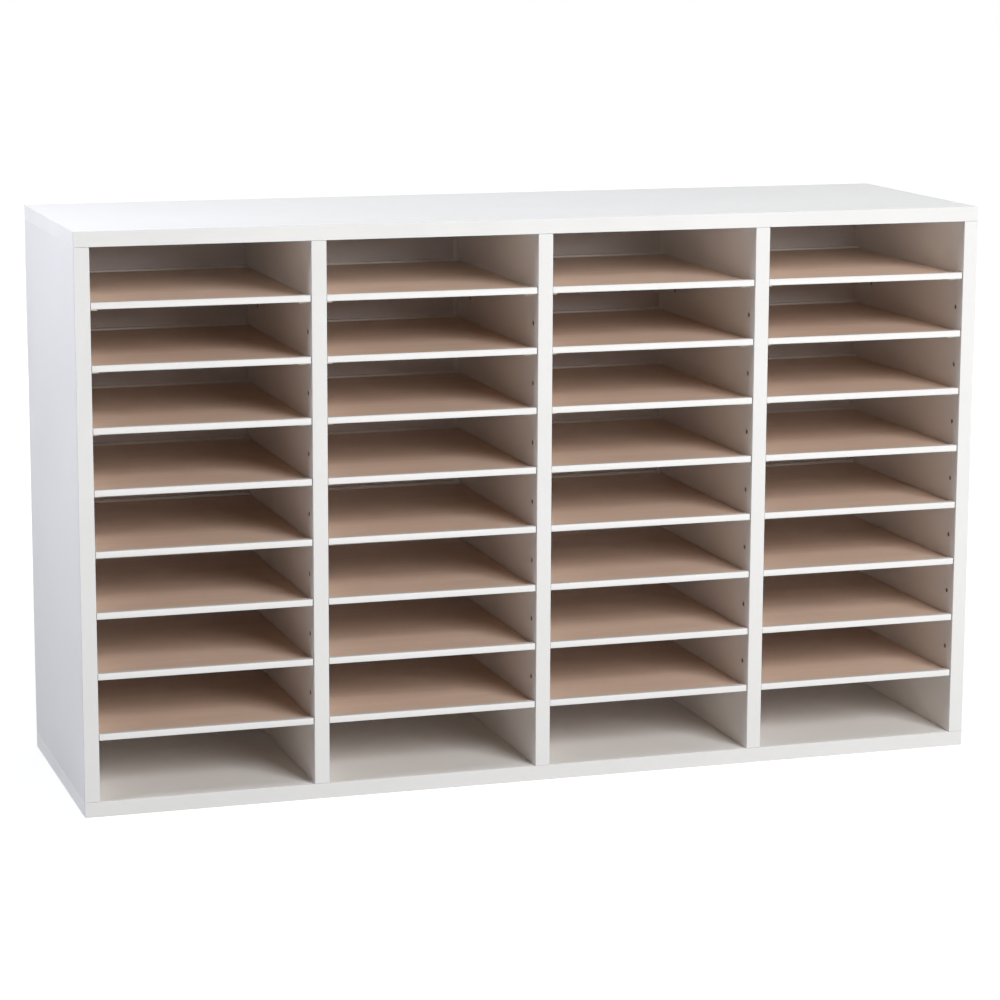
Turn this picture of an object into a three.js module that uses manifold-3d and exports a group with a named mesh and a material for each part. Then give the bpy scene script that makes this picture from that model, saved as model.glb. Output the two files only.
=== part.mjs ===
// Pigeonhole mail sorter: a white board carcass in columns, with loose hardboard shelves on pins.
// Millimetres, +Z up, front toward -Y, origin on the floor under the middle of the carcass.

import * as THREE from 'three';
import { mergeVertices } from 'three/addons/utils/BufferGeometryUtils.js';
import Module from 'manifold-3d';

const wasm = await Module();
wasm.setup();

// Carcass
const width = 998;
const depth = 296;
const height = 608;
const board = 16;
const columns = 4;
const jointGap = 0.2;

// Rows of pin holes: a shelf takes every second hole
const holePitch = 32;
const holesPerRow = 2;
const pinFrontInset = 17;
const pinRearInset = 55;
const pinRadius = 2.5;
const pinReach = 10;
const pinRoot = 8;
const pinHoleDepth = 9;

// Back: two sheets in a rebate, joined by a strip behind the middle divider
const backThickness = 3;
const backSetback = 1.5;
const backGap = 0.5;
const rebateWidth = 8;
const stripLip = 1;
const stripWeb = 1.5;
const stripShow = 4.5;

// Shelves: a thin sheet with an edging along its front and rear edges
const shelfThickness = 3;
const shelfEndGap = 0.8;
const shelfRecess = 1.5;
const shelfBackGap = 8;
const seatClearance = 0.3;
const edgingHeight = 7;
const edgingDepth = 8;
const edgingNose = 0.8;

// Screws and dowels at the ends of the uprights
const screwHeadRadius = 5;
const screwHeadHeight = 3.5;
const screwRim = 0.8;
const screwShankRadius = 3.5;
const screwThreadRadius = 2.5;
const screwTip = 4;
const screwLength = 50;
const screwSink = 0.5;
const screwInset = 50;
const dowelRadius = 4;
const dowelReach = 10;
const dowelRoot = 20;
const dowelInset = 60;
const fitClearance = 0.3;

// How far a cutter runs past the face that it cuts, and the sides of round pieces
const overcut = 1;
const roundSides = 8;
const noseSteps = 3;

// Finishes
const whiteBoard = { color: 0xf1f1ef, roughness: 0.45, metalness: 0 };
const whitePlastic = { color: 0xe6e4df, roughness: 0.4, metalness: 0 };
const hardboard = { color: 0xcbb19e, roughness: 0.75, metalness: 0 };
const zincSteel = { color: 0xb9bcc0, roughness: 0.35, metalness: 1 };

// Sizes that follow from those above
const innerHeight = height - 2 * board;
const innerWidth = width - 2 * board;
const columnWidth = (width - (columns + 1) * board) / columns;
const rowPitch = holePitch * holesPerRow;
const rows = Math.floor(innerHeight / rowPitch);
const front = -depth / 2;
const rear = depth / 2;
const pinLines = [front + pinFrontInset, rear - pinRearInset];
const backRear = rear - backSetback;
const backFront = backRear - backThickness;
const rebateShoulder = backFront - jointGap;
const stripFront = rebateShoulder - stripLip;
const stripRear = backRear + jointGap + stripLip;
const jointDivider = Math.round(columns / 2);
const shelfFront = front + shelfRecess;
const shelfDepth = backFront - shelfBackGap - shelfFront;
const shelfWidth = columnWidth - 2 * shelfEndGap;
const screwShank = board - screwSink - fitClearance;

const uprightX = (index) => -width / 2 + board / 2 + index * (columnWidth + board);
const shelfPinZ = (row) => board + row * rowPitch;
const shelfSeatZ = (row) => shelfPinZ(row) + pinRadius + seatClearance;

// Joining and cutting

function solidOf(geometry) {
  const plain = geometry.clone();
  plain.deleteAttribute('normal');
  plain.deleteAttribute('uv');
  const merged = mergeVertices(plain);
  return new wasm.Manifold(new wasm.Mesh({
    numProp: 3,
    vertProperties: new Float32Array(merged.attributes.position.array),
    triVerts: new Uint32Array(merged.index.array),
  }));
}

function shaped(blank, joins, cuts) {
  let solid = solidOf(blank);
  for (const piece of joins) {
    solid = solid.add(solidOf(piece));
  }
  for (const piece of cuts) {
    solid = solid.subtract(solidOf(piece));
  }
  const mesh = solid.getMesh();
  const geometry = new THREE.BufferGeometry();
  geometry.setAttribute('position', new THREE.BufferAttribute(mesh.vertProperties, 3));
  geometry.setIndex(new THREE.BufferAttribute(mesh.triVerts, 1));
  geometry.computeVertexNormals();
  return geometry;
}

// A box given by its lowest and highest corners
function block(low, high) {
  const geometry = new THREE.BoxGeometry(high[0] - low[0], high[1] - low[1], high[2] - low[2]);
  return geometry.translate((low[0] + high[0]) / 2, (low[1] + high[1]) / 2, (low[2] + high[2]) / 2);
}

// A round rod along +Z from the origin, with a flat on each side along X and Y
function rod(radius, length) {
  const half = Math.PI / roundSides;
  const corner = radius / Math.cos(half);
  const geometry = new THREE.CylinderGeometry(corner, corner, length, roundSides, 1, false, half);
  return geometry.rotateX(Math.PI / 2).translate(0, 0, length / 2);
}

// The same rod along +X or -X
function rodAlongX(radius, length, sign) {
  return rod(radius, length).rotateY(sign * Math.PI / 2);
}

// Countersunk screw, pointing down from the middle of its head; grown, it is the hole for one
function screw(grow, rise) {
  const profile = [
    new THREE.Vector2(0, -screwLength - grow),
    new THREE.Vector2(screwThreadRadius + grow, screwTip - screwLength - grow),
    new THREE.Vector2(screwThreadRadius + grow, -screwShank - grow),
    new THREE.Vector2(screwShankRadius + grow, -screwShank - grow),
    new THREE.Vector2(screwShankRadius + grow, -screwHeadHeight - grow),
    new THREE.Vector2(screwHeadRadius + grow, -screwRim - grow),
    new THREE.Vector2(screwHeadRadius + grow, rise),
    new THREE.Vector2(0, rise),
  ];
  return new THREE.LatheGeometry(profile, roundSides).rotateX(Math.PI / 2);
}

// Where the fixings of an upright lie along its depth: the outer ones are screwed twice
function fixingsOf(index) {
  const outer = index === 0 || index === columns;
  const screwPlaces = outer
    ? { front: front + screwInset, rear: rear - screwInset }
    : { middle: 0 };
  const dowels = outer ? [0] : [front + dowelInset, rear - dowelInset];
  return { screwPlaces, dowels };
}

// Top and bottom panels: one shape, inner face at z = 0, turned over for the bottom
function panelGeometry() {
  const reach = innerWidth / 2 + rebateWidth;
  const cuts = [block([-reach, rebateShoulder, -overcut], [reach, rear + overcut, rebateWidth])];
  for (let index = 0; index <= columns; index += 1) {
    const { screwPlaces, dowels } = fixingsOf(index);
    for (const y of Object.values(screwPlaces)) {
      cuts.push(screw(fitClearance, overcut).translate(uprightX(index), y, board - screwSink));
    }
    for (const y of dowels) {
      const length = overcut + dowelReach + fitClearance;
      cuts.push(rod(dowelRadius + fitClearance, length).translate(uprightX(index), y, -overcut));
    }
  }
  return shaped(block([-width / 2, front, 0], [width / 2, rear, board]), [], cuts);
}

// Pins under each shelf on one face of an upright
function pinsOn(face) {
  const pins = [];
  for (let row = 1; row < rows; row += 1) {
    for (const y of pinLines) {
      const pin = rodAlongX(pinRadius, pinRoot + pinReach, face);
      pins.push(pin.translate(face * (board / 2 - pinRoot), y, shelfPinZ(row)));
    }
  }
  return pins;
}

// Free holes between the shelves: blind from a face, or right through where both faces carry shelves
function freeHoles(faces) {
  const through = faces.length > 1;
  const length = through ? board + 2 * overcut : pinHoleDepth + overcut;
  const holes = [];
  for (let step = holesPerRow; step < holesPerRow * (rows - 1); step += 1) {
    const taken = step % holesPerRow === 0;
    for (const y of taken ? [] : pinLines) {
      const hole = rodAlongX(pinRadius, length, -faces[0]);
      hole.translate(faces[0] * (board / 2 + overcut), y, board + step * holePitch);
      holes.push(hole);
    }
  }
  return holes;
}

// Sides and dividers: x measured from the middle of the board
function uprightGeometry(index) {
  const outer = index === 0 || index === columns;
  const faces = [-1, 1].filter((face) => !(index === 0 && face < 0) && !(index === columns && face > 0));
  const low = board + jointGap;
  const high = height - board - jointGap;
  const dividerRear = index === jointDivider ? stripFront - jointGap : rebateShoulder;
  const blank = block([-board / 2, front, low], [board / 2, outer ? rear : dividerRear, high]);
  const joins = faces.flatMap(pinsOn);
  const cuts = freeHoles(faces);
  if (outer) {
    const edge = faces[0] * board / 2;
    const limits = [edge - faces[0] * rebateWidth, edge + faces[0] * overcut].sort((a, b) => a - b);
    cuts.push(block(
      [limits[0], rebateShoulder, low - overcut],
      [limits[1], rear + overcut, high + overcut],
    ));
  }
  const { screwPlaces, dowels } = fixingsOf(index);
  for (const y of Object.values(screwPlaces)) {
    cuts.push(screw(fitClearance, overcut).translate(0, y, height - screwSink));
    cuts.push(screw(fitClearance, overcut).rotateX(Math.PI).translate(0, y, screwSink));
  }
  for (const y of dowels) {
    joins.push(rod(dowelRadius, dowelRoot + dowelReach).translate(0, y, high - dowelRoot));
    joins.push(rod(dowelRadius, dowelRoot + dowelReach).translate(0, y, low - dowelReach));
  }
  return shaped(blank, joins, cuts);
}

// Half of the back, from its outer edge in the rebate to the web of the joining strip
function backGeometry(side) {
  const outerEdge = side * (innerWidth / 2 + rebateWidth - backGap);
  const innerEdge = uprightX(jointDivider) + side * (stripWeb / 2 + backGap);
  const edges = [outerEdge, innerEdge].sort((a, b) => a - b);
  const reach = rebateWidth - backGap;
  return block(
    [edges[0], backFront, board - reach],
    [edges[1], backRear, height - board + reach],
  );
}

// Joining strip: an H section that grips the inner edges of both back sheets
function stripGeometry() {
  const half = board / 2 + stripShow;
  const web = stripWeb / 2;
  const slotFront = stripFront + stripLip;
  const slotRear = stripRear - stripLip;
  const section = new THREE.Shape();
  section.moveTo(-half, stripFront);
  section.lineTo(half, stripFront);
  section.lineTo(half, slotFront);
  section.lineTo(web, slotFront);
  section.lineTo(web, slotRear);
  section.lineTo(half, slotRear);
  section.lineTo(half, stripRear);
  section.lineTo(-half, stripRear);
  section.lineTo(-half, slotRear);
  section.lineTo(-web, slotRear);
  section.lineTo(-web, slotFront);
  section.lineTo(-half, slotFront);
  section.closePath();
  const length = innerHeight - 2 * jointGap;
  return new THREE.ExtrudeGeometry(section, { depth: length, bevelEnabled: false });
}

// Shelf: its section seen along the width, from the front edging to the rear one
function shelfGeometry() {
  const lip = (edgingHeight - shelfThickness) / 2;
  const bottom = -lip;
  const top = shelfThickness + lip;
  const section = new THREE.Shape();
  section.moveTo(edgingDepth, bottom);
  section.lineTo(edgingDepth, 0);
  section.lineTo(shelfDepth - edgingDepth, 0);
  section.lineTo(shelfDepth - edgingDepth, bottom);
  section.lineTo(shelfDepth - edgingNose, bottom);
  section.quadraticCurveTo(shelfDepth, bottom, shelfDepth, bottom + edgingNose);
  section.lineTo(shelfDepth, top - edgingNose);
  section.quadraticCurveTo(shelfDepth, top, shelfDepth - edgingNose, top);
  section.lineTo(shelfDepth - edgingDepth, top);
  section.lineTo(shelfDepth - edgingDepth, shelfThickness);
  section.lineTo(edgingDepth, shelfThickness);
  section.lineTo(edgingDepth, top);
  section.lineTo(edgingNose, top);
  section.quadraticCurveTo(0, top, 0, top - edgingNose);
  section.lineTo(0, bottom + edgingNose);
  section.quadraticCurveTo(0, bottom, edgingNose, bottom);
  section.closePath();
  const options = { depth: shelfWidth, bevelEnabled: false, curveSegments: noseSteps };
  const geometry = new THREE.ExtrudeGeometry(section, options);
  return geometry.rotateX(Math.PI / 2).rotateZ(Math.PI / 2);
}

// Assembly

function part(name, geometry, finish) {
  const mesh = new THREE.Mesh(geometry, new THREE.MeshStandardMaterial(finish));
  mesh.name = name;
  return mesh;
}

function makeCarcass() {
  const carcass = new THREE.Group();
  const top = part('top_panel', panelGeometry(), whiteBoard);
  top.position.z = height - board;
  const bottom = part('bottom_panel', panelGeometry(), whiteBoard);
  bottom.position.z = board;
  bottom.rotation.y = Math.PI;
  carcass.add(top, bottom);
  for (let index = 0; index <= columns; index += 1) {
    const dividerName = index === columns ? 'right_side' : `divider_${index}`;
    const upright = part(index === 0 ? 'left_side' : dividerName, uprightGeometry(index), whiteBoard);
    upright.position.x = uprightX(index);
    carcass.add(upright);
  }
  return carcass;
}

function makeBack() {
  const back = new THREE.Group();
  const strip = part('back_strip', stripGeometry(), whitePlastic);
  strip.position.set(uprightX(jointDivider), 0, board + jointGap);
  back.add(part('back_left', backGeometry(-1), hardboard));
  back.add(part('back_right', backGeometry(1), hardboard));
  back.add(strip);
  return back;
}

function makeShelves() {
  const shelves = new THREE.Group();
  const geometry = shelfGeometry();
  for (let column = 1; column <= columns; column += 1) {
    const left = uprightX(column) - board / 2 - columnWidth + shelfEndGap;
    for (let row = 1; row < rows; row += 1) {
      const shelf = part(`shelf_${column}_${row}`, geometry, hardboard);
      shelf.position.set(left, shelfFront, shelfSeatZ(row));
      shelves.add(shelf);
    }
  }
  return shelves;
}

function makeScrews() {
  const screws = new THREE.Group();
  const geometry = screw(0, 0);
  for (let index = 0; index <= columns; index += 1) {
    for (const [place, y] of Object.entries(fixingsOf(index).screwPlaces)) {
      const upper = part(`screw_top_${index}_${place}`, geometry, zincSteel);
      upper.position.set(uprightX(index), y, height - screwSink);
      const lower = part(`screw_bottom_${index}_${place}`, geometry, zincSteel);
      lower.position.set(uprightX(index), y, screwSink);
      lower.rotation.x = Math.PI;
      screws.add(upper, lower);
    }
  }
  return screws;
}

const sorter = new THREE.Group();
sorter.add(makeCarcass(), makeBack(), makeShelves(), makeScrews());

export default sorter;
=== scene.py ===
import math
import bmesh
import bpy
from mathutils import Matrix, Vector


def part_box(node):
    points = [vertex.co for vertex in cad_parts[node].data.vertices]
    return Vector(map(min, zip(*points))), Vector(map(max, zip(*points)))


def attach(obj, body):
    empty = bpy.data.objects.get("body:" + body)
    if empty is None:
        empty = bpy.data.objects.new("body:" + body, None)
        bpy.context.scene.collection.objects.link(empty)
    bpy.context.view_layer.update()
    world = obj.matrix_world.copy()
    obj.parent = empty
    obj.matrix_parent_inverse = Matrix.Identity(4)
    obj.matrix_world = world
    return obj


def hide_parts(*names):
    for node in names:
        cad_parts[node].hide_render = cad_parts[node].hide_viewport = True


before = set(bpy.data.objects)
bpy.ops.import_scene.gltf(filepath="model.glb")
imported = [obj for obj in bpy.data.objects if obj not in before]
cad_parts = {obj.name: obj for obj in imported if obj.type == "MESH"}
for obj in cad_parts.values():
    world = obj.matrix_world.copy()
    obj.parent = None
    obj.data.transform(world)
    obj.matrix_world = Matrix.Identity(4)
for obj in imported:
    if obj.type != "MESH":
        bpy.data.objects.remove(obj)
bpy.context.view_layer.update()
mm = 0.001

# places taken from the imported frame
topLow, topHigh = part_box("top_panel")
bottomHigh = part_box("bottom_panel")[1]
carcass = {
    "left": topLow.x,
    "right": topHigh.x,
    "front": topLow.y,
    "rear": topHigh.y,
    "board": topHigh.z - topLow.z,
    "floor": bottomHigh.z,
    "ceiling": topLow.z,
    "top": topHigh.z,
}
dividerNames = sorted(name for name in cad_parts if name.startswith("divider_"))
shelfNames = sorted(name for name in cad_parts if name.startswith("shelf_"))
screwNames = sorted(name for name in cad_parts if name.startswith("screw_"))


def middleX(node):
    low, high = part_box(node)
    return (low.x + high.x) / 2


uprights = [("left_side", carcass["left"] + carcass["board"] / 2, (1,))]
uprights += [(name, middleX(name), (-1, 1)) for name in dividerNames]
uprights += [("right_side", carcass["right"] - carcass["board"] / 2, (-1,))]
print("frame loaded:", len(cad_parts), "nodes,", len(shelfNames), "shelves")


# small helpers for node trees

def put(tree, kind, values=None, **settings):
    node = tree.nodes.new(kind)
    for key, value in settings.items():
        setattr(node, key, value)
    for key, value in (values or {}).items():
        node.inputs[key].default_value = value
    return node


def join(tree, output, target):
    tree.links.new(output, target)


def newGroup(name, inputs, outputs):
    group = bpy.data.node_groups.new(name, "ShaderNodeTree")
    for label, kind, value in inputs:
        socket = group.interface.new_socket(name=label, in_out="INPUT", socket_type=kind)
        socket.default_value = value
    for label, kind in outputs:
        group.interface.new_socket(name=label, in_out="OUTPUT", socket_type=kind)
    return group, group.nodes.new("NodeGroupInput"), group.nodes.new("NodeGroupOutput")


def useGroup(tree, group, values):
    node = tree.nodes.new("ShaderNodeGroup")
    node.node_tree = group
    for key, value in values.items():
        node.inputs[key].default_value = value
    return node


def newMaterial(name, values):
    material = bpy.data.materials.new(name)
    material.use_nodes = True
    tree = material.node_tree
    shader = tree.nodes["Principled BSDF"]
    for key, value in values.items():
        shader.inputs[key].default_value = value
    return material, tree, shader


# piece coordinates, moved by each piece's own random number so that no two pieces match
pieceShift = 3.7


def pieceCoords(tree, stretch):
    coords = put(tree, "ShaderNodeTexCoord")
    info = put(tree, "ShaderNodeObjectInfo")
    offset = put(tree, "ShaderNodeMath", {1: pieceShift}, operation="MULTIPLY")
    shifted = put(tree, "ShaderNodeVectorMath", operation="ADD")
    scaled = put(tree, "ShaderNodeVectorMath", operation="MULTIPLY")
    join(tree, info.outputs["Random"], offset.inputs[0])
    join(tree, coords.outputs["Object"], shifted.inputs[0])
    join(tree, offset.outputs[0], shifted.inputs[1])
    join(tree, shifted.outputs[0], scaled.inputs[0])
    join(tree, stretch, scaled.inputs[1])
    return scaled.outputs[0]


# shared effect: even grain, stretched along any axis
def makeGrainGroup():
    group, given, result = newGroup(
        "surfaceGrain",
        [("Scale", "NodeSocketFloat", 500.0), ("Detail", "NodeSocketFloat", 3.0),
         ("Stretch", "NodeSocketVector", (1.0, 1.0, 1.0))],
        [("Grain", "NodeSocketFloat")])
    noise = put(group, "ShaderNodeTexNoise", {"Roughness": 0.6})
    join(group, pieceCoords(group, given.outputs["Stretch"]), noise.inputs["Vector"])
    join(group, given.outputs["Scale"], noise.inputs["Scale"])
    join(group, given.outputs["Detail"], noise.inputs["Detail"])
    join(group, noise.outputs["Fac"], result.inputs["Grain"])
    return group


# shared effect: slow drift between two tones, with a share of small flecks in a third
def makeMottleGroup():
    group, given, result = newGroup(
        "toneMottle",
        [("Ground", "NodeSocketColor", (0.5, 0.5, 0.5, 1)), ("Drift", "NodeSocketColor", (0.4, 0.4, 0.4, 1)),
         ("Fleck", "NodeSocketColor", (0.2, 0.2, 0.2, 1)), ("Drift Scale", "NodeSocketFloat", 12.0),
         ("Fleck Scale", "NodeSocketFloat", 400.0), ("Fleck Share", "NodeSocketFloat", 0.3),
         ("Stretch", "NodeSocketVector", (1.0, 1.0, 1.0))],
        [("Color", "NodeSocketColor")])
    place = pieceCoords(group, given.outputs["Stretch"])
    slow = put(group, "ShaderNodeTexNoise", {"Detail": 4.0, "Roughness": 0.55})
    fine = put(group, "ShaderNodeTexNoise", {"Detail": 3.0, "Roughness": 0.7})
    for noise, label in ((slow, "Drift Scale"), (fine, "Fleck Scale")):
        join(group, place, noise.inputs["Vector"])
        join(group, given.outputs[label], noise.inputs["Scale"])
    slowMask = put(group, "ShaderNodeMapRange", {"From Min": 0.3, "From Max": 0.7})
    fineMask = put(group, "ShaderNodeMapRange", {"From Min": 0.5, "From Max": 0.72})
    share = put(group, "ShaderNodeMath", operation="MULTIPLY")
    drifted = put(group, "ShaderNodeMix", data_type="RGBA")
    flecked = put(group, "ShaderNodeMix", data_type="RGBA")
    join(group, slow.outputs["Fac"], slowMask.inputs["Value"])
    join(group, fine.outputs["Fac"], fineMask.inputs["Value"])
    join(group, fineMask.outputs["Result"], share.inputs[0])
    join(group, given.outputs["Fleck Share"], share.inputs[1])
    join(group, slowMask.outputs["Result"], drifted.inputs["Factor"])
    join(group, given.outputs["Ground"], drifted.inputs["A"])
    join(group, given.outputs["Drift"], drifted.inputs["B"])
    join(group, share.outputs[0], flecked.inputs["Factor"])
    join(group, drifted.outputs["Result"], flecked.inputs["A"])
    join(group, given.outputs["Fleck"], flecked.inputs["B"])
    join(group, flecked.outputs["Result"], result.inputs["Color"])
    return group


# shared effect: faint hand marks that lift or lower the gloss
def makeHandMarkGroup():
    group, given, result = newGroup(
        "handMarks",
        [("Clean", "NodeSocketFloat", 0.35), ("Marked", "NodeSocketFloat", 0.5),
         ("Scale", "NodeSocketFloat", 9.0)],
        [("Roughness", "NodeSocketFloat")])
    even = put(group, "ShaderNodeCombineXYZ", {"X": 1.0, "Y": 1.0, "Z": 1.0})
    noise = put(group, "ShaderNodeTexNoise", {"Detail": 5.0, "Roughness": 0.65, "Distortion": 0.6})
    mask = put(group, "ShaderNodeMapRange", {"From Min": 0.38, "From Max": 0.68})
    join(group, pieceCoords(group, even.outputs[0]), noise.inputs["Vector"])
    join(group, given.outputs["Scale"], noise.inputs["Scale"])
    join(group, noise.outputs["Fac"], mask.inputs["Value"])
    join(group, given.outputs["Clean"], mask.inputs["To Min"])
    join(group, given.outputs["Marked"], mask.inputs["To Max"])
    join(group, mask.outputs["Result"], result.inputs["Roughness"])
    return group


# shared effect: a broken rubbed line along the arrises
def makeEdgeRubGroup():
    group, given, result = newGroup(
        "edgeRub",
        [("Width", "NodeSocketFloat", 0.001), ("Break", "NodeSocketFloat", 160.0),
         ("Amount", "NodeSocketFloat", 0.5)],
        [("Mask", "NodeSocketFloat")])
    bevel = put(group, "ShaderNodeBevel", samples=4)
    shape = put(group, "ShaderNodeNewGeometry")
    facing = put(group, "ShaderNodeVectorMath", operation="DOT_PRODUCT")
    edge = put(group, "ShaderNodeMapRange", {"From Min": 0.995, "From Max": 0.86})
    even = put(group, "ShaderNodeCombineXYZ", {"X": 1.0, "Y": 1.0, "Z": 1.0})
    noise = put(group, "ShaderNodeTexNoise", {"Detail": 4.0})
    gaps = put(group, "ShaderNodeMapRange", {"From Min": 0.45, "From Max": 0.65})
    both = put(group, "ShaderNodeMath", operation="MULTIPLY")
    scaled = put(group, "ShaderNodeMath", operation="MULTIPLY")
    join(group, given.outputs["Width"], bevel.inputs["Radius"])
    join(group, bevel.outputs["Normal"], facing.inputs[0])
    join(group, shape.outputs["Normal"], facing.inputs[1])
    join(group, facing.outputs["Value"], edge.inputs["Value"])
    join(group, pieceCoords(group, even.outputs[0]), noise.inputs["Vector"])
    join(group, given.outputs["Break"], noise.inputs["Scale"])
    join(group, noise.outputs["Fac"], gaps.inputs["Value"])
    join(group, edge.outputs["Result"], both.inputs[0])
    join(group, gaps.outputs["Result"], both.inputs[1])
    join(group, both.outputs[0], scaled.inputs[0])
    join(group, given.outputs["Amount"], scaled.inputs[1])
    join(group, scaled.outputs[0], result.inputs["Mask"])
    return group


surfaceGrain = makeGrainGroup()
toneMottle = makeMottleGroup()
handMarks = makeHandMarkGroup()
edgeRub = makeEdgeRubGroup()


# one finish: mottled colour, marked gloss, bumped grain and, if wanted, rubbed edges
def finishSurface(name, look):
    material, tree, shader = newMaterial(name, look["shader"])
    tone = useGroup(tree, toneMottle, look["tone"])
    gloss = useGroup(tree, handMarks, look["gloss"])
    grain = useGroup(tree, surfaceGrain, look["grain"])
    bump = put(tree, "ShaderNodeBump", {"Strength": look["bump"], "Distance": look["relief"]})
    colour = tone.outputs["Color"]
    if "rub" in look:
        rub = useGroup(tree, edgeRub, look["rub"])
        worn = put(tree, "ShaderNodeMix", {"B": look["rubColour"]}, data_type="RGBA")
        join(tree, rub.outputs["Mask"], worn.inputs["Factor"])
        join(tree, colour, worn.inputs["A"])
        colour = worn.outputs["Result"]
    join(tree, colour, shader.inputs["Base Color"])
    join(tree, gloss.outputs["Roughness"], shader.inputs["Roughness"])
    join(tree, grain.outputs["Grain"], bump.inputs["Height"])
    join(tree, bump.outputs["Normal"], shader.inputs["Normal"])
    return material, tree, bump


melamineLook = {
    "shader": {"Specular IOR Level": 0.4},
    "tone": {"Ground": (0.87, 0.856, 0.84, 1), "Drift": (0.855, 0.841, 0.825, 1),
             "Fleck": (0.825, 0.811, 0.795, 1),
             "Drift Scale": 7.0, "Fleck Scale": 900.0, "Fleck Share": 0.35},
    "gloss": {"Clean": 0.5, "Marked": 0.6, "Scale": 8.0},
    "grain": {"Scale": 1500.0, "Detail": 2.0},
    "bump": 0.12,
    "relief": 0.05 * mm,
    "rub": {"Width": 0.9 * mm, "Break": 140.0, "Amount": 0.3},
    "rubColour": (0.70, 0.69, 0.67, 1),
}
# inner faces, painted a shade warmer than the outside as warm bounce light from the brown shelves; the board
# is the same white melamine on both faces
paintedBounceLook = {
    **melamineLook,
    "tone": {**melamineLook["tone"], "Ground": (0.875, 0.832, 0.795, 1), "Drift": (0.86, 0.817, 0.78, 1),
             "Fleck": (0.83, 0.787, 0.75, 1)},
}
# front bands: the same white melamine as the faces and the end bands, painted much darker as shade to hold
# down the brightly lit front edges; the rub colour is darkened to match
paintedShadeBandLook = {
    "shader": {"Specular IOR Level": 0.45},
    "tone": {"Ground": (0.6, 0.6, 0.597, 1), "Drift": (0.588, 0.588, 0.585, 1),
             "Fleck": (0.56, 0.56, 0.555, 1),
             "Drift Scale": 10.0, "Fleck Scale": 700.0, "Fleck Share": 0.25},
    "gloss": {"Clean": 0.32, "Marked": 0.44, "Scale": 14.0},
    "grain": {"Scale": 900.0, "Detail": 2.0},
    "bump": 0.1,
    "relief": 0.04 * mm,
    "rub": {"Width": 0.7 * mm, "Break": 120.0, "Amount": 0.35},
    "rubColour": (0.52, 0.515, 0.50, 1),
}
chipboardLook = {
    "shader": {"Specular IOR Level": 0.2},
    "tone": {"Ground": (0.46, 0.32, 0.19, 1), "Drift": (0.36, 0.24, 0.13, 1), "Fleck": (0.64, 0.50, 0.33, 1),
             "Drift Scale": 300.0, "Fleck Scale": 420.0, "Fleck Share": 0.8},
    "gloss": {"Clean": 0.8, "Marked": 0.95, "Scale": 60.0},
    "grain": {"Scale": 700.0, "Detail": 5.0},
    "bump": 0.9,
    "relief": 0.4 * mm,
}
hardboardLook = {
    "shader": {"Specular IOR Level": 0.3},
    "tone": {"Ground": (0.78, 0.595, 0.482, 1), "Drift": (0.72, 0.545, 0.437, 1),
             "Fleck": (0.62, 0.457, 0.358, 1),
             "Drift Scale": 60.0, "Fleck Scale": 520.0, "Fleck Share": 0.4, "Stretch": (0.12, 1.0, 1.0)},
    "gloss": {"Clean": 0.5, "Marked": 0.62, "Scale": 11.0},
    "grain": {"Scale": 650.0, "Detail": 4.0},
    "bump": 0.18,
    "relief": 0.08 * mm,
    "rub": {"Width": 0.5 * mm, "Break": 220.0, "Amount": 0.5},
    "rubColour": (0.63, 0.48, 0.365, 1),
}
backLook = {
    **hardboardLook,
    "tone": {**hardboardLook["tone"], "Ground": (0.84, 0.772, 0.757, 1), "Drift": (0.805, 0.738, 0.723, 1),
             "Fleck": (0.74, 0.668, 0.648, 1)},
}
screenLook = {
    "shader": {"Specular IOR Level": 0.15},
    "tone": {"Ground": (0.55, 0.405, 0.30, 1), "Drift": (0.49, 0.355, 0.255, 1),
             "Fleck": (0.62, 0.47, 0.35, 1),
             "Drift Scale": 18.0, "Fleck Scale": 450.0, "Fleck Share": 0.6},
    "gloss": {"Clean": 0.82, "Marked": 0.94, "Scale": 12.0},
    "grain": {"Scale": 800.0, "Detail": 4.0},
    "bump": 0.5,
    "relief": 0.25 * mm,
}
# front edging: the same white plastic as the rear edging, painted much darker as shade to hold down the
# brightly lit front faces
paintedShadeEdgingLook = {
    "shader": {"Specular IOR Level": 0.5},
    "tone": {"Ground": (0.63, 0.63, 0.622, 1), "Drift": (0.615, 0.615, 0.607, 1),
             "Fleck": (0.585, 0.583, 0.575, 1),
             "Drift Scale": 20.0, "Fleck Scale": 600.0, "Fleck Share": 0.2, "Stretch": (0.1, 1.0, 1.0)},
    "gloss": {"Clean": 0.28, "Marked": 0.38, "Scale": 20.0},
    "grain": {"Scale": 1400.0, "Detail": 2.0, "Stretch": (0.02, 1.0, 1.0)},
    "bump": 0.12,
    "relief": 0.05 * mm,
}
rearEdgingLook = {
    **paintedShadeEdgingLook,
    "tone": {**paintedShadeEdgingLook["tone"], "Ground": (0.93, 0.885, 0.845, 1), "Drift": (0.915, 0.87, 0.83, 1),
             "Fleck": (0.88, 0.83, 0.79, 1)},
}
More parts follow.
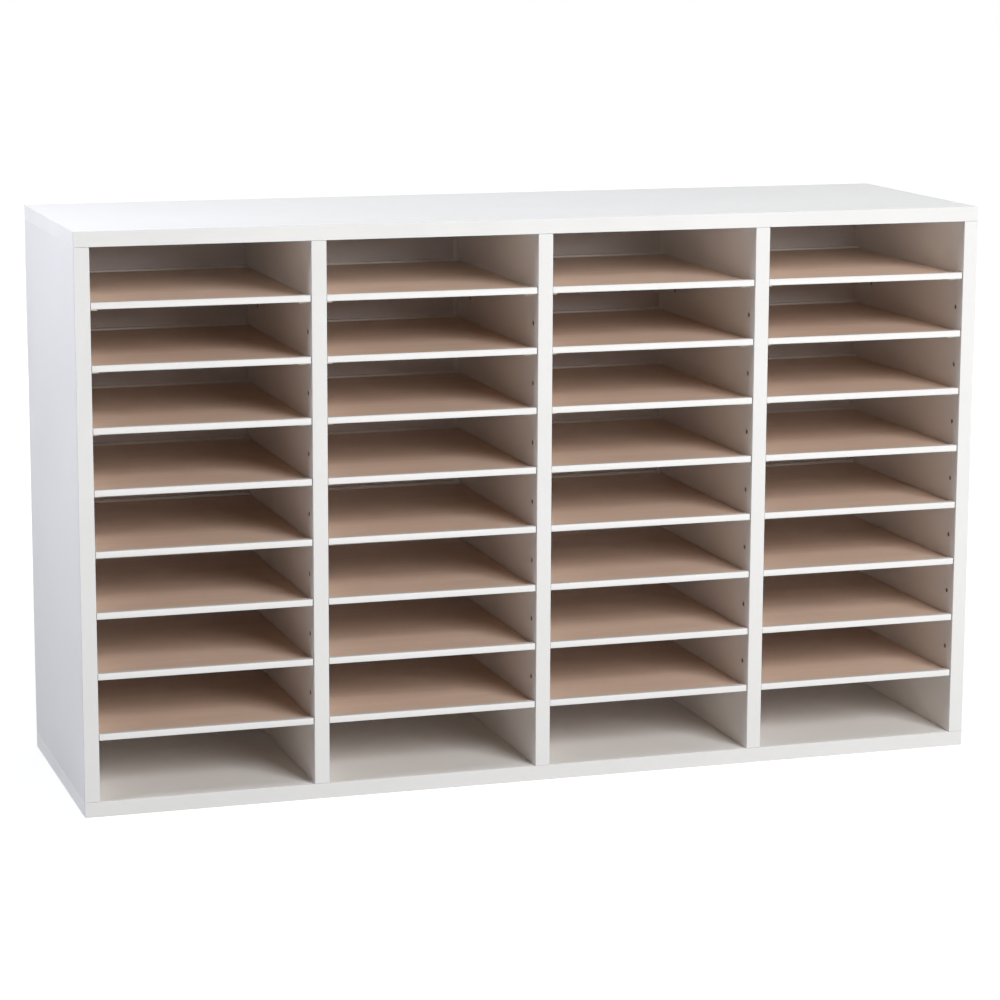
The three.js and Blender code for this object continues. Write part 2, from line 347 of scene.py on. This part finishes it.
# end bands: the band's gloss and grain with the true melamine white, without the painted shade
endBandLook = {**paintedShadeBandLook, "tone": melamineLook["tone"], "rubColour": melamineLook["rubColour"]}
stripLook = {
    **rearEdgingLook,
    "tone": {**rearEdgingLook["tone"], "Stretch": (1.0, 1.0, 0.1)},
    "grain": {"Scale": 1400.0, "Detail": 2.0, "Stretch": (1.0, 1.0, 0.02)},
}
pinLook = {
    "shader": {"Specular IOR Level": 0.45, "Subsurface Weight": 0.05},
    "tone": {"Ground": (0.72, 0.66, 0.54, 1), "Drift": (0.68, 0.62, 0.50, 1), "Fleck": (0.60, 0.54, 0.43, 1),
             "Drift Scale": 60.0, "Fleck Scale": 900.0, "Fleck Share": 0.2},
    "gloss": {"Clean": 0.34, "Marked": 0.45, "Scale": 80.0},
    "grain": {"Scale": 1600.0, "Detail": 2.0},
    "bump": 0.15,
    "relief": 0.04 * mm,
}
zincLook = {
    "shader": {"Metallic": 1.0},
    "tone": {"Ground": (0.62, 0.63, 0.65, 1), "Drift": (0.55, 0.56, 0.57, 1), "Fleck": (0.70, 0.69, 0.63, 1),
             "Drift Scale": 160.0, "Fleck Scale": 1200.0, "Fleck Share": 0.3},
    "gloss": {"Clean": 0.28, "Marked": 0.45, "Scale": 200.0},
    "grain": {"Scale": 2500.0, "Detail": 3.0},
    "bump": 0.2,
    "relief": 0.03 * mm,
}

melamine = finishSurface("whiteMelamine", melamineLook)[0]
paintedBounceMelamine = finishSurface("paintedBounceMelamine", paintedBounceLook)[0]
paintedShadeEdgeBand = finishSurface("paintedShadeEdgeBand", paintedShadeBandLook)[0]
endBand = finishSurface("endBand", endBandLook)[0]
chipboard = finishSurface("rawChipboard", chipboardLook)[0]
hardboard = finishSurface("hardboardFace", hardboardLook)[0]
backFace = finishSurface("backFace", backLook)[0]
paintedShadeEdgingPlastic = finishSurface("paintedShadeEdgingPlastic", paintedShadeEdgingLook)[0]
rearEdgingPlastic = finishSurface("rearEdgingPlastic", rearEdgingLook)[0]
stripPlastic = finishSurface("stripPlastic", stripLook)[0]
pinPlastic = finishSurface("pinPlastic", pinLook)[0]
zincSteel = finishSurface("zincSteel", zincLook)[0]


# the rough side of hardboard carries the mark of the wire screen it was pressed on
screenMake = {"pitch": 2.0 * mm, "bump": 0.7, "relief": 0.3 * mm, "wander": 0.4}


def makeScreenBack(name, pitch, across):
    material, tree, bump = finishSurface(name, screenLook)
    coords = put(tree, "ShaderNodeTexCoord")
    turned = put(tree, "ShaderNodeMapping", {"Rotation": across})
    join(tree, coords.outputs["Object"], turned.inputs["Vector"])
    waves = []
    for direction in ("X", "Y"):
        wave = put(tree, "ShaderNodeTexWave",
                   {"Scale": math.pi / (10 * pitch), "Distortion": screenMake["wander"], "Detail": 1.0},
                   wave_type="BANDS", bands_direction=direction)
        join(tree, turned.outputs["Vector"], wave.inputs["Vector"])
        waves.append(wave.outputs["Fac"])
    knots = put(tree, "ShaderNodeMath", operation="MULTIPLY")
    weave = put(tree, "ShaderNodeBump", {"Strength": screenMake["bump"], "Distance": screenMake["relief"]})
    join(tree, waves[0], knots.inputs[0])
    join(tree, waves[1], knots.inputs[1])
    join(tree, knots.outputs[0], weave.inputs["Height"])
    join(tree, weave.outputs["Normal"], bump.inputs["Normal"])
    return material


shelfScreen = makeScreenBack("shelfScreenSide", screenMake["pitch"], (0.0, 0.0, 0.0))
backScreen = makeScreenBack("backScreenSide", screenMake["pitch"], (math.pi / 2, 0.0, 0.0))
print("finishes made:", len(bpy.data.materials), "materials,", len(bpy.data.node_groups), "shared effects")


# mesh helpers; an edge sharper than its angle in degrees stays sharp
smoothAngles = {"plastic": 40, "nail": 50, "screw": 35}


def meshFrom(bm, name, smoothAngle=None):
    bmesh.ops.recalc_face_normals(bm, faces=bm.faces[:])
    mesh = bpy.data.meshes.new(name)
    bm.to_mesh(mesh)
    bm.free()
    if smoothAngle:
        mesh.shade_smooth()
        mesh.set_sharp_from_angle(angle=math.radians(smoothAngle))
    return mesh


def addSlab(bm, low, high, arris=0.0, steps=2):
    verts = bmesh.ops.create_cube(bm, size=1)["verts"]
    for vert in verts:
        vert.co = Vector([low[axis] if vert.co[axis] < 0 else high[axis] for axis in range(3)])
    if arris:
        edges = list({edge for vert in verts for edge in vert.link_edges})
        bmesh.ops.bevel(bm, geom=edges, offset=arris, segments=steps, profile=0.5, affect="EDGES")


# a turned piece: profile of (distance along the axis, radius), axis along local Z of the matrix
def addTurned(bm, profile, matrix, sides):
    rings = []
    for along, radius in profile:
        if radius == 0:
            rings.append([bm.verts.new(matrix @ Vector((0, 0, along)))])
            continue
        turn = [2 * math.pi * step / sides for step in range(sides)]
        rings.append([
            bm.verts.new(matrix @ Vector((radius * math.cos(angle), radius * math.sin(angle), along)))
            for angle in turn])
    for near, far in zip(rings, rings[1:]):
        for step in range(sides):
            after = (step + 1) % sides
            corners = [near[step % len(near)], near[after % len(near)],
                       far[after % len(far)], far[step % len(far)]]
            bm.faces.new(list(dict.fromkeys(corners)))


# a length of moulding: section of two coordinates, drawn along the third axis
def mouldingMesh(name, section, start, end, axis, smoothAngle):
    bm = bmesh.new()

    def corner(point, along):
        values = list(point)
        values.insert(axis, along)
        return bm.verts.new(values)

    near = [corner(point, start) for point in section]
    far = [corner(point, end) for point in section]
    bm.faces.new(near)
    bm.faces.new(far)
    for step in range(len(section)):
        after = (step + 1) % len(section)
        bm.faces.new([near[step], near[after], far[after], far[step]])
    return meshFrom(bm, name, smoothAngle)


def arc(centre, radius, startAngle, endAngle, steps=5):
    points = []
    for step in range(steps + 1):
        angle = math.radians(startAngle + (endAngle - startAngle) * step / steps)
        points.append((centre[0] + radius * math.cos(angle), centre[1] + radius * math.sin(angle)))
    return points


def place(name, mesh, materials, at=(0, 0, 0)):
    for material in materials:
        if material.name not in mesh.materials:
            mesh.materials.append(material)
    obj = bpy.data.objects.new(name, mesh)
    obj.location = at
    bpy.context.collection.objects.link(obj)
    return obj


def seat(obj, body, slotName, *nodes):
    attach(obj, body)
    if nodes:
        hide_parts(*nodes)
    return obj


# cuts obj by a closed cutter mesh, whose material lines the cut
def carve(obj, cutterMesh, material):
    cutter = place("cutter", cutterMesh, [material])
    cut = obj.modifiers.new("carve", "BOOLEAN")
    cut.object = cutter
    cut.operation = "DIFFERENCE"
    cut.solver = "EXACT"
    cut.material_mode = "TRANSFER"
    graph = bpy.context.evaluated_depsgraph_get()
    obj.data = bpy.data.meshes.new_from_object(obj.evaluated_get(graph))
    obj.modifiers.clear()
    bpy.data.objects.remove(cutter)


# gives faces that look along a direction another of the mesh's materials
facingLimit = 0.9


def paintFacing(mesh, direction, index):
    for polygon in mesh.polygons:
        if polygon.normal.dot(Vector(direction)) > facingLimit:
            polygon.material_index = index


# sizes shared by the boards, the pins and the shelves
boardMake = {"band": 1 * mm, "arris": 0.4 * mm, "bandArris": 0.45 * mm, "seam": 0.1 * mm}
rebate = {"width": 8 * mm, "depth": 4.7 * mm}
shelfMake = {
    "sheet": 3 * mm,
    "edgingDepth": 8 * mm,
    "nose": 0.8 * mm,
    "wall": 1.6 * mm,
    "play": 0.06 * mm,
    "arris": 0.25 * mm,
    "trim": 0.3 * mm,
}
pinMake = {
    "radius": 2.45 * mm,
    "root": -1 * mm,
    "reach": 10 * mm,
    "collarRadius": 3.6 * mm,
    "collar": 0.5 * mm,
    "round": 0.4 * mm,
    "ease": 0.3,
    "frontInset": 17 * mm,
    "rearInset": 55 * mm,
    "seat": 2.8 * mm,
    "sides": 20,
}
holeMake = {"radius": 2.5 * mm, "depth": 9 * mm, "over": 1 * mm, "sides": 20}

shelfLow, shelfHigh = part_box("shelf_1_1")
edgingLip = (shelfHigh.z - shelfLow.z - shelfMake["sheet"]) / 2
rowNames = [name for name in shelfNames if name.startswith("shelf_1_")]
pinHeights = sorted(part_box(name)[0].z + edgingLip - pinMake["seat"] for name in rowNames)
holeHeights = [(low + high) / 2 for low, high in zip(pinHeights, pinHeights[1:])]
pinLines = [carcass["front"] + pinMake["frontInset"], carcass["rear"] - pinMake["rearInset"]]


# sides and dividers: faced board, drilled, with a band along the front edge
def drillMesh(x, faces):
    bm = bmesh.new()
    half = carcass["board"] / 2
    through = len(faces) > 1
    length = carcass["board"] + 2 * holeMake["over"] if through else holeMake["depth"] + holeMake["over"]
    start = -half - holeMake["over"] if faces[0] < 0 else half - holeMake["depth"]
    end = start + length
    profile = [(start, 0), (start, holeMake["radius"]), (end, holeMake["radius"]), (end, 0)]
    for height in holeHeights:
        for y in pinLines:
            addTurned(bm, profile, Matrix.Translation((x, y, height)) @ Matrix.Rotation(math.pi / 2, 4, "Y"),
                      holeMake["sides"])
    return meshFrom(bm, "drill")


def rebateMesh(low, high):
    bm = bmesh.new()
    addSlab(bm, low, high)
    return meshFrom(bm, "rebateCutter")


def makeUpright(name, x, faces):
    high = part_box(name)[1]
    half = carcass["board"] / 2
    seam = boardMake["seam"]
    bottom = carcass["floor"] + seam
    top = carcass["ceiling"] - seam
    coreFront = carcass["front"] + boardMake["band"]
    bm = bmesh.new()
    addSlab(bm, (x - half, coreFront + seam, bottom), (x + half, high.y, top), boardMake["arris"])
    core = place(name + "_board", meshFrom(bm, name + "_board"), [melamine, chipboard, paintedBounceMelamine])
    # faces that look into the compartments take the melamine copy with painted warm bounce light
    for face in faces:
        paintFacing(core.data, (face, 0, 0), 2)
    carve(core, drillMesh(x, faces), chipboard)
    if len(faces) == 1:
        inner = x + faces[0] * half
        edges = sorted([inner - faces[0] * rebate["width"], inner + faces[0] * rebate["width"]])
        carve(core, rebateMesh((edges[0], high.y - rebate["depth"], bottom - half),
                               (edges[1], high.y + rebate["depth"], top + half)), chipboard)
    paintFacing(core.data, (0, 1, 0), 1)
    seat(core, "carcass", "white_board", name)
    # the front band takes the copy painted darker as shade
    bm = bmesh.new()
    addSlab(bm, (x - half, carcass["front"], bottom), (x + half, coreFront, top), boardMake["bandArris"], 3)
    band = place(name + "_band", meshFrom(bm, name + "_band"), [paintedShadeEdgeBand])
    seat(band, "carcass", "white_board")


# shelf pins on every face that carries shelves
def makePins(name, x, faces):
    bm = bmesh.new()
    half = carcass["board"] / 2
    root = pinMake["root"]
    radius = pinMake["radius"]
    soft = pinMake["round"]
    profile = [
        (root, 0),
        (root, radius),
        (0, radius),
        (0, pinMake["collarRadius"]),
        (pinMake["collar"] - soft / 2, pinMake["collarRadius"]),
        (pinMake["collar"], pinMake["collarRadius"] - soft / 2),
        (pinMake["collar"], radius),
        (pinMake["reach"] - soft, radius),
        (pinMake["reach"] - soft * pinMake["ease"], radius - soft * pinMake["ease"]),
        (pinMake["reach"], radius - soft),
        (pinMake["reach"], 0),
    ]
    for face in faces:
        for height in pinHeights:
            for y in pinLines:
                turn = Matrix.Rotation(face * math.pi / 2, 4, "Y")
                spot = Matrix.Translation((x + face * half, y, height)) @ turn
                addTurned(bm, profile, spot, pinMake["sides"])
    pins = place(name + "_pins", meshFrom(bm, name + "_pins", smoothAngles["plastic"]), [pinPlastic])
    seat(pins, "carcass", "white_board")


for uprightName, uprightX, uprightFaces in uprights:
    makeUpright(uprightName, uprightX, uprightFaces)
    makePins(uprightName, uprightX, uprightFaces)
print("uprights made:", len(uprights))


# top and bottom panels: banded on the front and both ends, rebated for the back
def makePanel(name, innerZ):
    low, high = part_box(name)
    band = boardMake["band"]
    seam = boardMake["seam"]
    arris = boardMake["arris"]
    bm = bmesh.new()
    addSlab(bm, (low.x + band + seam, low.y + band + seam, low.z),
            (high.x - band - seam, high.y, high.z), arris)
    core = place(name + "_board", meshFrom(bm, name + "_board"), [melamine, chipboard])
    reach = carcass["board"] - rebate["width"]
    carve(core, rebateMesh((low.x + reach, high.y - rebate["depth"], innerZ - rebate["width"]),
                           (high.x - reach, high.y + rebate["depth"], innerZ + rebate["width"])), chipboard)
    paintFacing(core.data, (0, 1, 0), 1)
    seat(core, "carcass", "white_board", name)
    bands = {
        "front": ((low.x, low.y, low.z), (high.x, low.y + band, high.z)),
        "left": ((low.x, low.y + band + seam, low.z), (low.x + band, high.y, high.z)),
        "right": ((high.x - band, low.y + band + seam, low.z), (high.x, high.y, high.z)),
    }
    for side, (bandLow, bandHigh) in bands.items():
        bm = bmesh.new()
        addSlab(bm, bandLow, bandHigh, boardMake["bandArris"], 3)
        # the front band takes the copy painted darker as shade, the ends the true white
        finish = paintedShadeEdgeBand if side == "front" else endBand
        strip = place(f"{name}_band_{side}", meshFrom(bm, f"{name}_band_{side}"), [finish])
        seat(strip, "carcass", "white_board")


makePanel("top_panel", carcass["ceiling"])
makePanel("bottom_panel", carcass["floor"])
print("panels made")


# shelves: hardboard sheet between two edgings, all alike
def edgingSection(frontFirst):
    nose = shelfMake["nose"]
    depth = shelfMake["edgingDepth"]
    wall = shelfMake["wall"]
    play = shelfMake["play"]
    bottom = -edgingLip
    top = shelfMake["sheet"] + edgingLip
    section = [(depth, bottom)]
    section += arc((nose, bottom + nose), nose, 270, 180)
    section += arc((nose, top - nose), nose, 180, 90)
    section += [(depth, top), (depth, shelfMake["sheet"] + play), (wall, shelfMake["sheet"] + play),
                (wall, -play), (depth, -play)]
    shelfDepth = shelfHigh.y - shelfLow.y
    return section if frontFirst else [(shelfDepth - y, z) for y, z in section]


def makeShelfMeshes():
    wide = shelfHigh.x - shelfLow.x
    deep = shelfHigh.y - shelfLow.y
    trim = shelfMake["trim"]
    inset = shelfMake["wall"] + trim / 2
    bm = bmesh.new()
    addSlab(bm, (trim, inset, 0), (wide - trim, deep - inset, shelfMake["sheet"]), shelfMake["arris"])
    sheet = meshFrom(bm, "shelf_sheet")
    sheet.materials.append(hardboard)
    sheet.materials.append(shelfScreen)
    paintFacing(sheet, (0, 0, -1), 1)
    front = mouldingMesh("shelf_front_edging", edgingSection(True), 0, wide, 0, smoothAngles["plastic"])
    rear = mouldingMesh("shelf_rear_edging", edgingSection(False), 0, wide, 0, smoothAngles["plastic"])
    return sheet, front, rear


sheetMesh, frontEdgingMesh, rearEdgingMesh = makeShelfMeshes()
for shelfName in shelfNames:
    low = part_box(shelfName)[0]
    corner = (low.x, low.y, low.z + edgingLip)
    seat(place(shelfName + "_sheet", sheetMesh, [], corner), shelfName, "hardboard", shelfName)
    # the front edging takes the plastic copy painted darker as shade, the rear edging the lighter one
    frontEdging = place(shelfName + "_front_edging", frontEdgingMesh, [paintedShadeEdgingPlastic], corner)
    seat(frontEdging, shelfName, "white_plastic")
    rearEdging = place(shelfName + "_rear_edging", rearEdgingMesh, [rearEdgingPlastic], corner)
    seat(rearEdging, shelfName, "white_plastic")
print("shelves made:", len(shelfNames))


# back: two sheets in the rebate, a joining strip and the nails that hold them
backMake = {"arris": 0.3 * mm, "stripRound": 0.4 * mm, "lip": 1 * mm, "web": 1.5 * mm}
nailMake = {
    "head": 1.7 * mm,
    "height": 0.5 * mm,
    "sink": 1 * mm,
    "inset": 3.6 * mm,
    "spacing": 92 * mm,
    "wider": 1.5,
    "sides": 14,
}


def makeBackSheet(name):
    low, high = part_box(name)
    bm = bmesh.new()
    addSlab(bm, low, high, backMake["arris"])
    sheet = place(name + "_sheet", meshFrom(bm, name + "_sheet"), [backFace, backScreen])
    paintFacing(sheet.data, (0, 1, 0), 1)
    seat(sheet, "carcass", "hardboard", name)


def makeBackStrip():
    low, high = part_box("back_strip")
    middle = middleX("back_strip")
    lip = backMake["lip"]
    web = backMake["web"] / 2
    soft = backMake["stripRound"]
    half = (high.x - low.x) / 2
    upper = arc((half - soft, low.y + soft), soft, 270, 360, 4) + [(half, low.y + lip), (web, low.y + lip)]
    lower = [(x, low.y + high.y - y) for x, y in reversed(upper)]
    right = upper + lower
    section = right + [(-x, y) for x, y in reversed(right)]
    section = [(middle + x, y) for x, y in section]
    mesh = mouldingMesh("back_strip_moulding", section, low.z, high.z, 2, smoothAngles["plastic"])
    seat(place("back_strip_moulding", mesh, [stripPlastic]), "carcass", "white_plastic", "back_strip")


def spaced(start, end, spacing):
    count = max(1, round((end - start) / spacing))
    return [start + (end - start) * step / count for step in range(count + 1)]


def makeBackNails():
    bm = bmesh.new()
    leftLow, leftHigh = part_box("back_left")
    rightLow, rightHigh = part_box("back_right")
    inset = nailMake["inset"]
    bottom = leftLow.z + inset
    top = leftHigh.z - inset
    spots = []
    for low, high in ((leftLow, leftHigh), (rightLow, rightHigh)):
        outer = low.x + inset if low.x < 0 else high.x - inset
        rail = spaced(low.x + inset, high.x - inset, nailMake["spacing"])
        spots += [(x, z) for x in rail for z in (bottom, top)]
        spots += [(outer, z) for z in spaced(bottom, top, nailMake["spacing"])[1:-1]]
    for name, x, faces in uprights:
        if len(faces) > 1 and abs(x) > carcass["board"]:
            spots += [(x, z) for z in spaced(bottom, top, nailMake["spacing"] * nailMake["wider"])[1:-1]]
    radius = nailMake["head"]
    height = nailMake["height"]
    profile = [(-nailMake["sink"], 0), (-nailMake["sink"], radius * 0.6), (0, radius * 0.8),
               (height * 0.4, radius), (height * 0.7, radius * 0.85), (height, radius * 0.4), (height, 0)]
    facing = Matrix.Rotation(-math.pi / 2, 4, "X")
    for x, z in spots:
        addTurned(bm, profile, Matrix.Translation((x, leftHigh.y, z)) @ facing, nailMake["sides"])
    nails = place("back_nails", meshFrom(bm, "back_nails", smoothAngles["nail"]), [zincSteel])
    seat(nails, "carcass", "zinc_steel")
    return len(spots)


makeBackSheet("back_left")
makeBackSheet("back_right")
makeBackStrip()
print("back made:", makeBackNails(), "nails")


# connecting screws: countersunk head with a six-sided socket and a coarse thread
screwMake = {
    "head": 5 * mm,
    "headHeight": 3.5 * mm,
    "rim": 0.8 * mm,
    "shank": 3.5 * mm,
    "shankShort": 0.8 * mm,
    "core": 2.0 * mm,
    "thread": 2.5 * mm,
    "pitch": 3.6 * mm,
    "tip": 4 * mm,
    "socket": 1.9 * mm,
    "socketDepth": 2.4 * mm,
    "sides": 24,
    "turnSteps": 8,
}
coverMake = {"radius": 6.5 * mm, "height": 0.15 * mm, "sides": 36}


def screwMesh(length):
    bm = bmesh.new()
    sides = screwMake["sides"]
    shankEnd = screwMake["shankShort"] - carcass["board"]
    turn = [2 * math.pi * step / sides for step in range(sides)]

    def ring(z, radiusAt):
        return [bm.verts.new((radiusAt(a) * math.cos(a), radiusAt(a) * math.sin(a), z)) for a in turn]

    def socketRadius(angle):
        flat = angle % (math.pi / 3) - math.pi / 6
        return screwMake["socket"] / math.cos(flat)

    rings = [ring(-screwMake["socketDepth"], socketRadius), ring(0, socketRadius)]
    for z, radius in ((0, screwMake["head"]), (-screwMake["rim"], screwMake["head"]),
                      (-screwMake["headHeight"], screwMake["shank"]), (shankEnd, screwMake["shank"]),
                      (shankEnd, screwMake["core"])):
        rings.append(ring(z, lambda angle, radius=radius: radius))
    threadEnd = -length + screwMake["tip"]
    count = round((shankEnd - threadEnd) / screwMake["pitch"] * screwMake["turnSteps"])
    for step in range(1, count + 1):
        z = shankEnd + (threadEnd - shankEnd) * step / count

        def ridge(angle, z=z):
            phase = (z / screwMake["pitch"] + angle / (2 * math.pi)) % 1
            rise = max(0.0, 1 - abs(phase - 0.5) * 4)
            return screwMake["core"] + (screwMake["thread"] - screwMake["core"]) * rise

        rings.append(ring(z, ridge))
    for near, far in zip(rings, rings[1:]):
        for step in range(sides):
            after = (step + 1) % sides
            bm.faces.new([near[step], near[after], far[after], far[step]])
    bm.faces.new(rings[0])
    point = bm.verts.new((0, 0, -length))
    for step in range(sides):
        bm.faces.new([rings[-1][step], rings[-1][(step + 1) % sides], point])
    return meshFrom(bm, "connecting_screw", smoothAngles["screw"])


def makeScrews():
    low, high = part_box(screwNames[0])
    mesh = screwMesh(high.z - low.z)
    for name in screwNames:
        low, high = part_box(name)
        upper = name.startswith("screw_top")
        at = ((low.x + high.x) / 2, (low.y + high.y) / 2, high.z if upper else low.z)
        screw = place(name + "_turned", mesh, [zincSteel], at)
        screw.rotation_euler = (0 if upper else math.pi, 0, 0)
        seat(screw, "carcass", "zinc_steel", name)


# thin stick-on covers over the screws that would show on the top
def makeCovers():
    bm = bmesh.new()
    radius = coverMake["radius"]
    height = coverMake["height"]
    profile = [(0, 0), (0, radius), (height * 0.6, radius), (height * 0.9, radius - height * 0.3),
               (height, radius - height), (height, 0)]
    addTurned(bm, profile, Matrix.Identity(4), coverMake["sides"])
    mesh = meshFrom(bm, "screw_cover", smoothAngles["plastic"])
    for name in screwNames:
        if name.startswith("screw_top"):
            low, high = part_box(name)
            at = ((low.x + high.x) / 2, (low.y + high.y) / 2, carcass["top"])
            seat(place(name.replace("screw_top", "cover"), mesh, [melamine], at), "carcass", "white_board")


makeScrews()
makeCovers()
print("screws made:", len(screwNames))


# camera at the photo's angle: place in metres, turns in degrees, lens and sensor in millimetres
cameraSet = {
    "place": (-1.0582, -3.2858, 0.9390),
    "yaw": 17.82,
    "pitch": -10.79,
    "roll": 0.24,
    "lens": 114.03,
    "sensor": 36,
}


def makeCamera():
    yaw = math.radians(cameraSet["yaw"])
    pitch = math.radians(cameraSet["pitch"])
    ahead = Vector((math.sin(yaw) * math.cos(pitch), math.cos(yaw) * math.cos(pitch), math.sin(pitch)))
    across = Vector((math.cos(yaw), -math.sin(yaw), 0))
    turn = Matrix((across, across.cross(ahead), -ahead)).transposed().to_4x4()
    data = bpy.data.cameras.new("photoCamera")
    data.lens = cameraSet["lens"]
    data.sensor_width = cameraSet["sensor"]
    camera = bpy.data.objects.new("photoCamera", data)
    roll = Matrix.Rotation(math.radians(cameraSet["roll"]), 4, "Z")
    camera.matrix_world = Matrix.Translation(cameraSet["place"]) @ turn @ roll
    bpy.context.collection.objects.link(camera)
    bpy.context.scene.camera = camera


# soft lights: place, aim, size in metres, power in watts; one without glare isn't mirrored in the boards
studio = {
    "key": {"place": (1.12, -2.9, 1.6), "aim": (0, 0, 0.3), "size": (1.6, 1.4), "power": 110,
            "tint": (1, 1, 0.995), "glare": False},
    "frontFill": {"place": (0.3, -2.5, 0.2), "aim": (0, 0, 0), "size": (2.2, 0.3), "power": 13,
                  "tint": (1, 0.96, 0.92)},
    "leftFill": {"place": (-1.35, -0.1, 1.25), "aim": (-0.5, 0, 0.45), "size": (0.7, 0.7), "power": 13,
                 "tint": (0.86, 0.89, 1)},
    "overhead": {"place": (0.3, 0.2, 2.2), "aim": (0.2, 0, 0.6), "size": (1.6, 1.2), "power": 10,
                 "tint": (0.91, 0.96, 1)},
    "rearFill": {"place": (1.4, 2.6, 0.7), "aim": (0, 0, 0.3), "size": (2.4, 0.9), "power": 50,
                 "tint": (1, 1, 1), "glare": False},
}
backdrop = {
    "fill": 0.065,
    "floorSize": 30,
    "floorTone": (0.5, 0.5, 0.5, 1),
    "floorRoughness": 0.9,
    "drop": 0.1 * mm,
    "lift": 0.64,
    "near": 0.7,
    "far": 1.6,
}


def makeLights():
    for name, look in studio.items():
        data = bpy.data.lights.new(name, "AREA")
        data.shape = "RECTANGLE"
        data.size, data.size_y = look["size"]
        data.energy = look["power"]
        data.color = look["tint"]
        lamp = bpy.data.objects.new(name, data)
        lamp.location = look["place"]
        ahead = Vector(look["aim"]) - Vector(look["place"])
        lamp.rotation_euler = ahead.to_track_quat("-Z", "Y").to_euler()
        lamp.visible_glossy = look.get("glare", True)
        bpy.context.collection.objects.link(lamp)


# rays that show the backdrop see plain white, the rest see a dimmer fill
def seesBackdrop(tree):
    rays = put(tree, "ShaderNodeLightPath")
    direct = put(tree, "ShaderNodeMath", operation="MAXIMUM")
    shown = put(tree, "ShaderNodeMath", operation="MAXIMUM")
    join(tree, rays.outputs["Is Camera Ray"], direct.inputs[0])
    join(tree, rays.outputs["Is Glossy Ray"], direct.inputs[1])
    join(tree, direct.outputs[0], shown.inputs[0])
    join(tree, rays.outputs["Is Transmission Ray"], shown.inputs[1])
    return shown.outputs[0]


def makeWorld():
    world = bpy.data.worlds.new("studioWorld")
    bpy.context.scene.world = world
    world.use_nodes = True
    tree = world.node_tree
    fill = put(tree, "ShaderNodeMapRange", {"To Min": backdrop["fill"], "To Max": 1.0})
    join(tree, seesBackdrop(tree), fill.inputs["Value"])
    join(tree, fill.outputs["Result"], tree.nodes["Background"].inputs["Strength"])
    tree.nodes["Background"].inputs["Color"].default_value = (1, 1, 1, 1)


def makeFloor():
    half = backdrop["floorSize"] / 2
    bm = bmesh.new()
    corners = [bm.verts.new((x * half, y * half, 0)) for x, y in ((-1, -1), (1, -1), (1, 1), (-1, 1))]
    bm.faces.new(corners)
    floorLook = {"Base Color": backdrop["floorTone"], "Roughness": backdrop["floorRoughness"]}
    material, tree, shader = newMaterial("paleFloor", floorLook)
    coords = put(tree, "ShaderNodeTexCoord")
    away = put(tree, "ShaderNodeVectorMath", operation="LENGTH")
    glow = put(tree, "ShaderNodeEmission", {"Color": (1, 1, 1, 1)})
    lift = put(tree, "ShaderNodeMapRange", {"From Min": backdrop["near"], "From Max": backdrop["far"],
                                            "To Min": backdrop["lift"], "To Max": 1.0})
    shown = put(tree, "ShaderNodeMath", operation="MULTIPLY")
    both = put(tree, "ShaderNodeAddShader")
    join(tree, coords.outputs["Object"], away.inputs[0])
    join(tree, away.outputs["Value"], lift.inputs["Value"])
    join(tree, seesBackdrop(tree), shown.inputs[0])
    join(tree, lift.outputs["Result"], shown.inputs[1])
    join(tree, shown.outputs[0], glow.inputs["Strength"])
    join(tree, shader.outputs[0], both.inputs[0])
    join(tree, glow.outputs[0], both.inputs[1])
    join(tree, both.outputs[0], tree.nodes["Material Output"].inputs["Surface"])
    place("floor", meshFrom(bm, "floor"), [material], (0, 0, -backdrop["drop"]))


makeCamera()
makeLights()
makeWorld()
makeFloor()
bpy.context.scene.view_settings.view_transform = "Standard"
print("stage made")
